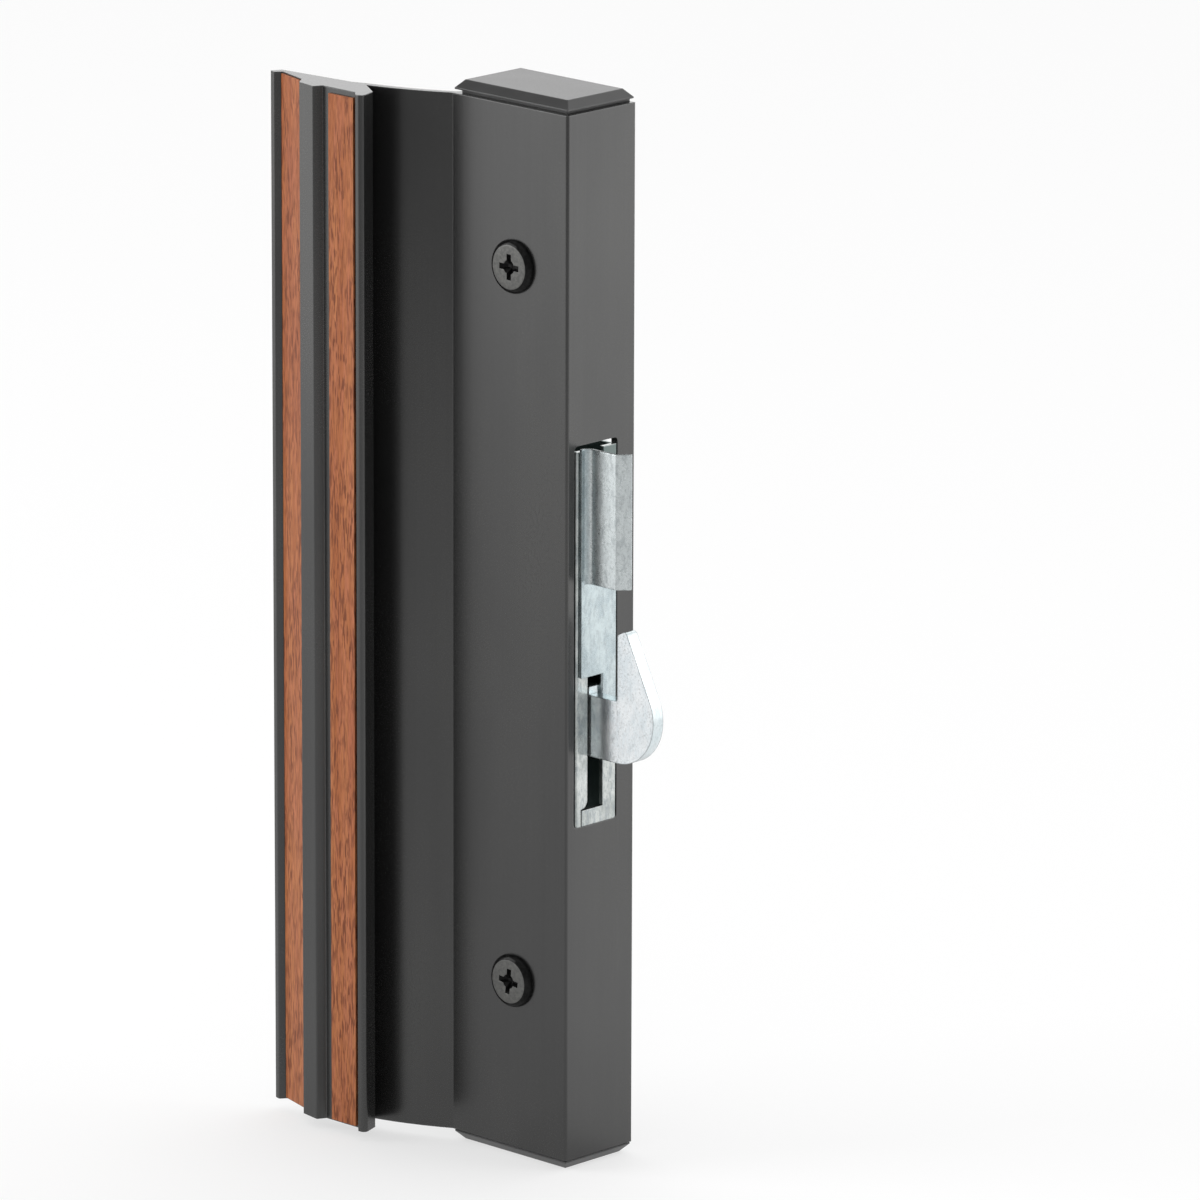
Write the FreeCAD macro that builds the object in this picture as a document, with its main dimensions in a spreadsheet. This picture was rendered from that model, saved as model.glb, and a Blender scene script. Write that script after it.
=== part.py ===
# Inside pull handle of a sliding patio door, with its thumb latch.
# Millimetres. X runs to the right along the handle's face, Y into the door, Z up.
# The origin is on the plane that meets the door, midway between the two mounting screws.
import FreeCAD
import Part
import Sketcher
import math
import os

# Driving dimensions. Each row is a name, a number of millimetres or degrees, and what it is.
SIZES = [
    ("section_length", 182.85, "cut length of the extruded section"),
    ("section_drop", 1.075, "middle of the section below the middle of the screws"),
    ("housing_width", 27.2, "front face of the channel, side to side"),
    ("housing_depth", 16.2, "front face to the door"),
    ("latch_side", 12.6, "screw line to the side face with the window"),
    ("wall", 1.5, "channel wall"),
    ("housing_round", 0.5, "outer long edges of the channel"),
    ("inner_round", 0.6, "inner long edges of the channel, away from the window"),
    ("web_thickness", 1.4, "web between the channel and the grip"),
    ("web_run", 14.7, "web, sideways"),
    ("web_stand", 5.8, "web, towards the room"),
    ("web_bow", 55, "radius of the web's gentle curve"),
    ("crease_round", 0.8, "inside corner between channel and web"),
    ("grip_gap", 8.8, "channel to the grip's near edge, sideways"),
    ("grip_stand", 12.6, "channel's front to the grip's near lip"),
    ("near_lip_width", 1.65, "lip beside the inner strip"),
    ("near_lip_rise", 0.05, "that lip's slope, up towards the inner strip"),
    ("near_flank", 1.45, "slope between that lip and the inner groove"),
    ("inner_groove_depth", 1.35, "inner groove below the near lip"),
    ("inner_groove_width", 7.75, "floor of the inner groove"),
    ("rib_side", 0.8, "rib's steep flank, sideways"),
    ("rib_height", 1.6, "rib above the inner groove"),
    ("rib_width", 4.05, "rib's face"),
    ("rib_fall", 0.75, "rib face's slope"),
    ("outer_flank", 1.5, "slope between rib and outer groove, sideways"),
    ("outer_flank_drop", 2.1, "that slope's depth"),
    ("outer_groove_width", 6.9, "floor of the outer groove"),
    ("outer_groove_turn", 16.8, "outer groove turned back, in degrees"),
    ("far_lip_flank", 0.95, "slope up to the far lip, sideways"),
    ("far_lip_height", 1.2, "far lip above the outer groove"),
    ("far_lip_width", 1.35, "far lip's face"),
    ("far_lip_fall", 0.4, "far lip face's slope"),
    ("far_edge_depth", 1.9, "far edge of the grip, front to back"),
    ("far_edge_slant", 1.0, "that edge's slant"),
    ("near_edge_depth", 3.7, "near edge of the grip, front to back"),
    ("near_edge_slant", 1.25, "that edge's slant"),
    ("back_meet_run", 3.7, "web's end to where its back meets the grip, sideways"),
    ("back_meet_depth", 0.2, "grip's back behind the web's front end"),
    ("grip_round", 0.25, "long edges of the grip"),
    ("near_lip_round", 0.8, "near lip's edge towards the channel"),
    ("strip_thickness", 0.4, "wood-look strip"),
    ("outer_strip_width", 6.6, "strip in the outer groove"),
    ("inner_strip_width", 5.9, "strip in the inner groove"),
    ("strip_play", 0.15, "strip to the side of its groove"),
    ("strip_short", 0.3, "strips end short of the lower end"),
    ("outer_strip_low", 0.25, "outer strip starts below the upper end"),
    ("inner_strip_low", 1.0, "inner strip starts below the upper end"),
    ("window_front", 1.76, "window's front edge behind the front face"),
    ("window_width", 10.5, "window in the latch side, front to back"),
    ("window_top", 33.2, "window's upper edge above the screw middle"),
    ("window_height", 66.86, "window in the latch side"),
    ("window_round", 0.8, "window's corners"),
    ("screw_spacing", 125.4, "mounting screws"),
    ("screw_size", 4.8, "screw thread"),
    ("screw_reach", 25.4, "screw below its head"),
    ("screw_point", 0.8, "chamfer at the screw's end"),
    ("plain_shank", 4.2, "screw's plain shank, as thin as before its thread was rolled"),
    ("thread_reach", 10, "threaded part, from the screw's end"),
    ("screw_hole", 5.4, "hole for the screw"),
    ("head_size", 9.4, "screw head"),
    ("head_rim", 0.5, "straight part of the head's side"),
    ("head_height", 1.25, "screw head"),
    ("head_flat", 7.8, "flat on top of the head"),
    ("head_round", 0.95, "radius of the head's rounded rim"),
    ("drive_length", 4.4, "cross recess, tip to tip"),
    ("drive_width", 0.8, "arm of the cross recess"),
    ("drive_depth", 1.1, "cross recess"),
    ("drive_turn", 6, "lower screw's recess turned, in degrees"),
    ("top_cap_gap", 0.65, "gap between the section and the upper cap's plate"),
    ("bottom_cap_gap", 0.2, "gap between the section and the lower cap's plate, pressed closer"),
    ("cap_neck_inset", 1.2, "neck inside the channel's outline"),
    ("cap_inset", 0.3, "plate inside the channel's outline"),
    ("cap_back_inset", 0.05, "plate and neck inside the door plane"),
    ("cap_edge", 0.25, "straight edge of the plate"),
    ("cap_bevel", 1.3, "bevel of the plate, sideways"),
    ("cap_bevel_height", 1.4, "bevel of the plate, up"),
    ("cap_plug", 8, "plug inside the channel"),
    ("cap_plug_wall", 1.4, "wall of the plug"),
    ("cap_play", 0.1, "plug to the channel's inner wall"),
    ("case_sheet", 0.9, "folded case of the latch"),
    ("case_top", 32.1, "case's upper end above the screw middle"),
    ("case_foot_gap", 0.05, "case's lower end above the window's lower edge"),
    ("case_front_gap", 0.51, "case's front side to the window's front edge"),
    ("case_back_gap", 0.05, "case's back side to the window's back edge"),
    ("case_depth", 17.6, "case from its face inwards"),
    ("case_bend", 0.5, "outer bends of the case"),
    ("case_foot_round", 0.8, "case's corner at the foot of its back lip"),
    ("mouth_front", 2.82, "front lip of the case"),
    ("mouth_width", 3.76, "mouth between the case's lips"),
    ("foot_bar", 2.75, "bar across the foot of the mouth"),
    ("foot_gap", 0.25, "front lip's end above that bar"),
    ("foot_seam", 0.25, "seam at the bar's end"),
    ("foot_seam_inset", 1.5, "seam behind the case's front side"),
    ("lip_end_round", 1.5, "front lip's lower corner"),
    ("strap_width", 10, "straps of the case"),
    ("strap_over", 5.5, "strap's end past the screw"),
    ("strap_jog", 3.5, "length of the strap's step"),
    ("strap_round", 2.5, "corners of the straps"),
    ("strap_hole", 5.1, "hole of a strap, for the screw"),
    ("slide_sheet", 0.5, "folded slide"),
    ("slide_play", 0.12, "slide to the case's face"),
    ("slide_front", 13.27, "slide's front edge before the door plane"),
    ("slide_width", 8.39, "slide's plate, front to back"),
    ("slide_top", 32.6, "slide's upper end above the screw middle"),
    ("tab_height", 23.5, "thumb tab"),
    ("tab_root", 1.5, "slide's front edge to the tab's front face"),
    ("tab_bend", 1.2, "inner bend at the tab's root"),
    ("tab_reach", 6.6, "tab out to its lip"),
    ("tab_lip", 2.7, "tab's lip"),
    ("tab_lip_turn", 47, "tab's lip turned back, in degrees"),
    ("plate_foot", 7.3, "slide's plate below the screw middle"),
    ("leg_foot", 20.6, "slide's leg below the screw middle"),
    ("tongue_reach", 6.5, "tongue folded into the case"),
    ("tongue_round", 0.4, "outer bend of the tongue"),
    ("hook_thickness", 2.46, "hook plate"),
    ("hook_behind_lip", 0.46, "hook's front face behind the case's front lip"),
    ("hook_round", 8.38, "radius of the hook's belly"),
    ("hook_out", 6.59, "belly's centre outside the side face"),
    ("hook_low", 13.15, "belly's centre below the screw middle"),
    ("hook_lean", 26.3, "outer edge's lean, in degrees"),
    ("hook_blade", 12.7, "outer edge, belly to tip"),
    ("hook_inner", 6.55, "hook's catching edge outside the side face"),
    ("hook_tip_low", 1.0, "tip's inner corner below the outer one"),
    ("tip_round", 0.8, "hook's tip"),
    ("throat_round", 0.5, "corner of the hook's throat"),
    ("shank_height", 10.8, "hook's shank"),
    ("arm_reach", 13.3, "hook's arm inside the case's face"),
    ("arm_top", 1.5, "arm's upper end above the screw middle"),
    ("arm_play", 0.1, "shoulder's edge behind the case's face"),
    ("arm_shoulder", 9.4, "tongue's top, and the shoulder where the arm steps inwards, below the screw middle"),
    ("arm_step", 5.3, "that step"),
    ("notch_top", 5, "upper notch below the arm's upper end"),
    ("notch_size", 0.9, "half of a notch"),
    ("latch_travel", 9, "slide and hook, locked to open"),
    ("rivet_size", 3, "rivets of the hook"),
    ("rivet_head", 4.4, "rivet heads"),
    ("rivet_dome", 1, "height of a rivet head"),
    ("rivet_flat", 0.8, "flat on top of a rivet head"),
    ("rivet_bulge", 0.6, "radius of a head's dome, as a share of the head's width"),
    ("rivet_space", 6.4, "rivets of the hook, apart"),
    ("rivet_inset", 2.3, "rivets from the tongue's end"),
    ("spring_sheet", 0.35, "detent spring"),
    ("spring_width", 5, "detent spring"),
    ("spring_top", 18, "spring's upper end above the screw middle"),
    ("spring_foot", 26, "spring's lower end below the screw middle"),
    ("spring_seat", 8, "flat part at the spring's upper end"),
    ("spring_slack", 0.15, "spring's crest to the notch"),
    ("spring_shoulder", 0.3, "foot of the crest to the arm"),
    ("crest_half", 1.26, "half of the crest's height"),
    ("spring_rivet", 2.4, "rivet of the spring"),
]

doc = FreeCAD.newDocument("patio_door_handle")
sheet = doc.addObject("Spreadsheet::Sheet", "Sizes")
for row, (alias, number, meaning) in enumerate(SIZES, start=1):
    sheet.set(f"A{row}", alias)
    sheet.set(f"B{row}", str(number))
    sheet.setAlias(f"B{row}", alias)
    sheet.set(f"C{row}", meaning)
doc.recompute()


class Size:
    """A number together with the sheet formula that gives it."""

    def __init__(self, number, formula):
        self.number = number
        self.formula = formula

    def __add__(self, other):
        other = as_size(other)
        return Size(self.number + other.number, f"({self.formula} + {other.formula})")

    def __sub__(self, other):
        other = as_size(other)
        return Size(self.number - other.number, f"({self.formula} - {other.formula})")

    def __mul__(self, other):
        other = as_size(other)
        return Size(self.number * other.number, f"({self.formula} * {other.formula})")

    def __truediv__(self, other):
        other = as_size(other)
        return Size(self.number / other.number, f"({self.formula} / {other.formula})")

    def __neg__(self):
        return Size(-self.number, f"(0 - {self.formula})")


def as_size(value):
    return value if isinstance(value, Size) else Size(float(value), f"{value:g}")


def size(alias):
    return Size(float(sheet.get(alias)), f"Sizes.{alias}")


def cosine(angle):
    return Size(math.cos(math.radians(angle.number)), f"cos({angle.formula} * 1 deg)")


def sine(angle):
    return Size(math.sin(math.radians(angle.number)), f"sin({angle.formula} * 1 deg)")


ZERO = as_size(0)
# A through cut starts one sheet before the sheet it cuts and ends one sheet behind it.
THROUGH = 3
# Two places nearer than this are the same one, in millimetres.
SAME_PLACE = 0.01
# A cut takes away at least this much, in cubic millimetres.
LEAST_CUT = 0.001

# Where each origin plane's own axes point: its first and second axis, and its normal.
PLANES = {
    "XY_Plane": ("x", "y", 1),
    "XZ_Plane": ("x", "z", -1),
    "YZ_Plane": ("y", "z", 1),
}


def new_body(name):
    body = doc.addObject("PartDesign::Body", name)
    body.Label = name
    return body


def new_sketch(body, name, role, height=ZERO):
    """An empty sketch on one of the body's origin planes, moved along that axis to height."""
    sketch = body.newObject("Sketcher::SketchObject", name)
    plane = [p for p in body.Origin.OriginFeatures if p.Role == role][0]
    sketch.AttachmentSupport = (plane, "")
    sketch.MapMode = "FlatFace"
    lift = height if PLANES[role][2] > 0 else -height
    sketch.AttachmentOffset = FreeCAD.Placement(FreeCAD.Vector(0, 0, lift.number), FreeCAD.Rotation())
    sketch.setExpression("AttachmentOffset.Base.z", lift.formula)
    return sketch


def bind(sketch, constraint, target):
    """Adds a constraint and ties its value to a sheet formula."""
    index = sketch.addConstraint(constraint)
    sketch.setExpression(f"Constraints[{index}]", target.formula)


def place_point(sketch, edge, end, x, y):
    """Holds one end of a sketch edge at a place worked out from the sheet."""
    bind(sketch, Sketcher.Constraint("DistanceX", -1, 1, edge, end, x.number), x)
    bind(sketch, Sketcher.Constraint("DistanceY", -1, 1, edge, end, y.number), y)


def bowed_edge(start, end, radius):
    """An arc between two points; a positive radius bulges to the right of the way it goes."""
    chord = end - start
    half = chord.Length / 2
    sagitta = abs(radius) - math.sqrt(radius * radius - half * half)
    right = FreeCAD.Vector(chord.y, -chord.x, 0).normalize()
    middle = (start + end) / 2 + right * math.copysign(sagitta, radius)
    return Part.Arc(start, middle, end)


def closed_outline(sketch, corners):
    """A closed outline. A corner is x, y and, where an arc leaves it, that arc's radius."""
    points = [FreeCAD.Vector(c[0].number, c[1].number, 0) for c in corners]
    first = sketch.GeometryCount
    starts = []
    ends = []
    for index, corner in enumerate(corners):
        here, there = points[index], points[(index + 1) % len(points)]
        if len(corner) == 3:
            arc = sketch.addGeometry(bowed_edge(here, there, corner[2].number), False)
            forward = sketch.getPoint(arc, 1).distanceToPoint(here) < SAME_PLACE
            starts.append((arc, 1 if forward else 2))
            ends.append((arc, 2 if forward else 1))
        else:
            line = sketch.addGeometry(Part.LineSegment(here, there), False)
            starts.append((line, 1))
            ends.append((line, 2))
    for index, corner in enumerate(corners):
        edge, end = ends[index - 1]
        next_edge, next_end = starts[index]
        sketch.addConstraint(Sketcher.Constraint("Coincident", edge, end, next_edge, next_end))
        place_point(sketch, next_edge, next_end, corner[0], corner[1])
        if len(corner) == 3:
            reach = corner[2] if corner[2].number > 0 else -corner[2]
            bind(sketch, Sketcher.Constraint("Radius", first + index, reach.number), reach)


def rectangle(sketch, left, bottom, right, top):
    closed_outline(sketch, [(left, bottom), (right, bottom), (right, top), (left, top)])


def circle(sketch, x, y, radius):
    centre = FreeCAD.Vector(x.number, y.number, 0)
    edge = sketch.addGeometry(Part.Circle(centre, FreeCAD.Vector(0, 0, 1), radius.number), False)
    place_point(sketch, edge, 3, x, y)
    bind(sketch, Sketcher.Constraint("Radius", edge, radius.number), radius)


def pad(body, name, sketch, length, towards_minus=False):
    """Fills a sketch along its plane's axis, upwards unless told otherwise."""
    return swept(body, "PartDesign::Pad", name, sketch, length, towards_minus)


def pocket(body, name, sketch, length, towards_minus=False):
    """Cuts a sketch along its plane's axis, upwards unless told otherwise."""
    before = body.Tip.Shape.Volume
    cut = swept(body, "PartDesign::Pocket", name, sketch, length, towards_minus)
    if cut.Shape.Volume > before - LEAST_CUT:
        raise ValueError(f"{name} cuts nothing")
    return cut


def swept(body, kind, name, sketch, length, towards_minus):
    feature = body.newObject(kind, name)
    feature.Profile = sketch
    feature.Length = length.number
    feature.setExpression("Length", length.formula)
    role = [p.Role for p, _ in sketch.AttachmentSupport][0]
    with_normal = (PLANES[role][2] > 0) != towards_minus
    feature.Reversed = with_normal if kind.endswith("Pocket") else not with_normal
    sketch.Visibility = False
    doc.recompute()
    return feature


def edges_along(shape, axis, spots):
    """Names of the straight edges along an axis that pass through any of the given spots."""
    across = [a for a in "xyz" if a != axis]
    found = []
    for number, edge in enumerate(shape.Edges, start=1):
        if not isinstance(edge.Curve, Part.Line):
            continue
        ends = [vertex.Point for vertex in edge.Vertexes]
        for spot in spots:
            off = [getattr(end, a) - s.number for end in ends for a, s in zip(across, spot)]
            if math.hypot(*off) < SAME_PLACE:
                found.append(f"Edge{number}")
    return found


def rounded(body, name, axis, radius, spots):
    """Rounds the straight edges along an axis that pass through the given spots."""
    base = body.Tip
    edges = edges_along(base.Shape, axis, spots)
    if not edges:
        raise ValueError(f"{name} finds no edge")
    fillet = body.newObject("PartDesign::Fillet", name)
    fillet.Base = (base, edges)
    fillet.Radius = radius.number
    fillet.setExpression("Radius", radius.formula)
    doc.recompute()
    return fillet


def turned(body, name, sketch, axis):
    """Spins a sketch a full turn round one of its own axes."""
    feature = body.newObject("PartDesign::Revolution", name)
    feature.Profile = sketch
    feature.ReferenceAxis = (sketch, [axis])
    feature.Angle = 360
    sketch.Visibility = False
    doc.recompute()
    return feature


# Places that several pieces share.
side_face = size("latch_side")
crease = side_face - size("housing_width")
front_face = -size("housing_depth")
section_top = size("section_length") / 2 - size("section_drop")
section_foot = -(size("section_length") / 2) - size("section_drop")
inner_left = crease + size("wall")
inner_right = side_face - size("wall")
inner_front = front_face + size("wall")
screw_up = size("screw_spacing") / 2

near_x = crease - size("grip_gap")
near_y = front_face - size("grip_stand")
near_lip = (near_x - size("near_lip_width"), near_y - size("near_lip_rise"))
groove_y = near_y + size("inner_groove_depth")
groove_right = near_lip[0] - size("near_flank")
groove_left = groove_right - size("inner_groove_width")
rib_right = (groove_left - size("rib_side"), groove_y - size("rib_height"))
rib_left = (rib_right[0] - size("rib_width"), rib_right[1] + size("rib_fall"))
outer_right = (rib_left[0] - size("outer_flank"), rib_left[1] + size("outer_flank_drop"))
turn_cos = cosine(size("outer_groove_turn"))
turn_sin = sine(size("outer_groove_turn"))
outer_left = (
    outer_right[0] - size("outer_groove_width") * turn_cos,
    outer_right[1] + size("outer_groove_width") * turn_sin,
)
far_lip_near = (outer_left[0] - size("far_lip_flank"), outer_left[1] - size("far_lip_height"))
far_lip_far = (far_lip_near[0] - size("far_lip_width"), far_lip_near[1] + size("far_lip_fall"))
far_back = (far_lip_far[0] + size("far_edge_slant"), far_lip_far[1] + size("far_edge_depth"))
near_back = (near_x - size("near_edge_slant"), near_y + size("near_edge_depth"))
web_end = (crease - size("web_run"), front_face - size("web_stand"))
back_meet = (web_end[0] - size("back_meet_run"), web_end[1] + size("back_meet_depth"))

window_front = front_face + size("window_front")
window_back = window_front + size("window_width")
window_foot = size("window_top") - size("window_height")

case_face = side_face
slide_back = case_face + size("slide_play")
slide_face = slide_back + size("slide_sheet")
case_inner = case_face - size("case_depth")
case_front = window_front + size("case_front_gap")
case_back = window_back - size("case_back_gap")
case_foot = window_foot + size("case_foot_gap")
mouth_front = case_front + size("mouth_front")
mouth_back = mouth_front + size("mouth_width")

hook_front = mouth_front + size("hook_behind_lip")
hook_back = hook_front + size("hook_thickness")
slide_front = -size("slide_front")
tongue_front = hook_back
tongue_back = tongue_front + size("slide_sheet")
tongue_end = slide_face - size("tongue_reach")
rivet_x = tongue_end + size("rivet_inset")
rivet_middle = -(size("arm_shoulder") + size("leg_foot")) / 2
rivet_up = rivet_middle + size("rivet_space") / 2
rivet_low = rivet_middle - size("rivet_space") / 2
arm_inner = case_face - size("arm_reach")
web_plate = case_inner + size("case_sheet")
notch_up = size("arm_top") - size("notch_top") - size("latch_travel")
spring_middle = (case_front + case_back) / 2
spring_rivet_z = size("spring_top") - size("spring_seat") / 2


def parallel_web_back():
    """Ends of the web's back face, one web's thickness behind its front face."""
    run, stand = size("web_run"), size("web_stand")
    slope = math.atan2(stand.number, run.number)
    lean = Size(math.degrees(slope), f"(atan({stand.formula} / {run.formula}) / 1 deg)")
    over_x = size("web_thickness") * sine(lean)
    over_y = size("web_thickness") * cosine(lean)
    at_wall = front_face + size("web_thickness") / cosine(lean)
    at_grip = (web_end[0] - over_x, web_end[1] + over_y)
    return at_wall, at_grip


def make_handle_extrusion():
    """Open-backed channel, thin web and grooved grip, pushed through one die and cut to length."""
    body = new_body("handle_extrusion")
    at_wall, at_grip = parallel_web_back()
    bow = size("web_bow")
    section = new_sketch(body, "section", "XY_Plane", section_foot)
    closed_outline(section, [
        (side_face, ZERO),
        (inner_right, ZERO),
        (inner_right, inner_front),
        (inner_left, inner_front),
        (inner_left, ZERO),
        (crease, ZERO),
        (crease, at_wall, -bow),
        at_grip,
        back_meet,
        far_back,
        far_lip_far,
        far_lip_near,
        outer_left,
        outer_right,
        rib_left,
        rib_right,
        (groove_left, groove_y),
        (groove_right, groove_y),
        near_lip,
        (near_x, near_y),
        near_back,
        (web_end[0], web_end[1], bow),
        (crease, front_face),
        (side_face, front_face),
    ])
    pad(body, "extrusion", section, size("section_length"))
    rounded(body, "soft_corner", "z", size("housing_round"), [(side_face, front_face)])
    rounded(body, "soft_crease", "z", size("crease_round"), [(crease, front_face)])
    rounded(body, "inner_corners", "z", size("inner_round"), [
        (inner_left, inner_front), (crease, at_wall), at_grip,
    ])
    rounded(body, "grip_edges", "z", size("grip_round"), [
        near_lip, near_back, rib_left, rib_right, far_lip_near, far_lip_far, far_back,
    ])
    rounded(body, "near_lip_edge", "z", size("near_lip_round"), [(near_x, near_y)])
    window = new_sketch(body, "window_outline", "YZ_Plane", inner_right - size("wall"))
    rectangle(window, window_front, window_foot, window_back, size("window_top"))
    pocket(body, "latch_window", window, size("wall") * THROUGH)
    rounded(body, "window_corners", "x", size("window_round"), [
        (window_front, window_foot), (window_back, window_foot),
        (window_front, size("window_top")), (window_back, size("window_top")),
    ])
    holes = new_sketch(body, "screw_holes", "XZ_Plane", front_face - size("wall"))
    for height in (screw_up, -screw_up):
        circle(holes, ZERO, height, size("screw_hole") / 2)
    pocket(body, "holes", holes, size("wall") * THROUGH)
    return body


def make_strip(name, start, along, width, top):
    """Thin strip lying on a groove's floor. It starts beside the groove's end at start."""
    body = new_body(name)
    ahead = (along[1], -along[0])
    first = [s + a * size("strip_play") for s, a in zip(start, along)]
    last = [f + a * width for f, a in zip(first, along)]
    raised = [ahead[0] * size("strip_thickness"), ahead[1] * size("strip_thickness")]
    foot = section_foot + size("strip_short")
    outline = new_sketch(body, name + "_outline", "XY_Plane", foot)
    closed_outline(outline, [
        tuple(first),
        (first[0] + raised[0], first[1] + raised[1]),
        (last[0] + raised[0], last[1] + raised[1]),
        tuple(last),
    ])
    pad(body, name + "_pad", outline, top - foot)
    return body


def make_wood_strips():
    """Two wood-look strips, each in its own groove of the grip."""
    along = (turn_cos, -turn_sin)
    top = section_top - size("outer_strip_low")
    make_strip("outer_wood_strip", outer_left, along, size("outer_strip_width"), top)
    width = size("inner_strip_width")
    start = (groove_right - width - size("strip_play") * 2, groove_y)
    make_strip("inner_wood_strip", start, (as_size(1), ZERO), width, section_top - size("inner_strip_low"))


def make_end_cap(name, end, outwards, gap):
    """Moulded cap: hollow plug inside the channel, narrow neck, and a bevelled plate."""
    body = new_body(name)
    up = outwards > 0

    def out(distance):
        return end + distance if up else end - distance

    def outline(part, height, inset, back_inset):
        sketch = new_sketch(body, f"{name}_{part}", "XY_Plane", out(height))
        rectangle(sketch, crease + inset, front_face + inset, side_face - inset, -back_inset)
        return sketch

    def block(part, low, high, inset):
        sketch = outline(part, low, inset, size("cap_back_inset"))
        pad(body, f"{name}_{part}_pad", sketch, high - low, towards_minus=not up)

    bevel_low = gap + size("cap_edge")
    block("neck", ZERO, gap, size("cap_neck_inset"))
    block("plate", gap, bevel_low, size("cap_inset"))
    low = outline("bevel_low", bevel_low, size("cap_inset"), size("cap_back_inset"))
    bevelled = size("cap_bevel")
    high = outline("bevel_high", bevel_low + size("cap_bevel_height"),
                   size("cap_inset") + bevelled, size("cap_back_inset") + bevelled)
    bevel = body.newObject("PartDesign::AdditiveLoft", name + "_bevel")
    bevel.Profile = low
    bevel.Sections = [high]
    bevel.Ruled = True
    doc.recompute()

    play = size("cap_play")
    plug = new_sketch(body, name + "_plug", "XY_Plane", end)
    rectangle(plug, inner_left + play, inner_front + play, inner_right - play, -play)
    pad(body, name + "_plug_pad", plug, size("cap_plug"), towards_minus=up)
    rounded(body, name + "_plug_corners", "z", size("inner_round"), [
        (inner_left + play, inner_front + play), (inner_right - play, inner_front + play),
    ])
    inset = play + size("cap_plug_wall")
    hollow = new_sketch(body, name + "_hollow", "XY_Plane", out(-size("cap_plug")))
    rectangle(hollow, inner_left + inset, inner_front + inset, inner_right - inset, -inset)
    pocket(body, name + "_hollow_cut", hollow, size("cap_plug"), towards_minus=not up)
    return body


def make_mounting_screw(name, height, turn):
    """Machine screw with a low domed head and a cross recess, standing in its hole."""
    body = new_body(name)
    profile = new_sketch(body, name + "_profile", "XY_Plane")
    head_top = front_face - size("head_height")
    rim = front_face - size("head_rim")
    shank = size("plain_shank") / 2
    thread = size("screw_size") / 2
    end = front_face + size("screw_reach")
    thread_start = end - size("thread_reach")
    point = size("screw_point")
    closed_outline(profile, [
        (ZERO, head_top),
        (size("head_flat") / 2, head_top, size("head_round")),
        (size("head_size") / 2, rim),
        (size("head_size") / 2, front_face),
        (shank, front_face),
        (shank, thread_start),
        (thread, thread_start),
        (thread, end - point),
        (thread - point, end),
        (ZERO, end),
    ])
    turned(body, name + "_turned", profile, "V_Axis")
    cross = new_sketch(body, name + "_cross", "XZ_Plane", head_top)
    arm, half = size("drive_length") / 2, size("drive_width") / 2
    corners = [(arm, -half), (arm, half), (half, half), (half, arm), (-half, arm), (-half, half),
               (-arm, half), (-arm, -half), (-half, -half), (-half, -arm), (half, -arm), (half, -half)]
    closed_outline(cross, corners)
    pocket(body, name + "_recess", cross, size("drive_depth"))
    body.Placement.Rotation = FreeCAD.Rotation(FreeCAD.Vector(0, 1, 0), turn.number)
    body.setExpression("Placement.Rotation.Angle", turn.formula)
    body.Placement.Base.z = height.number
    body.setExpression("Placement.Base.z", height.formula)
    return body


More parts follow.
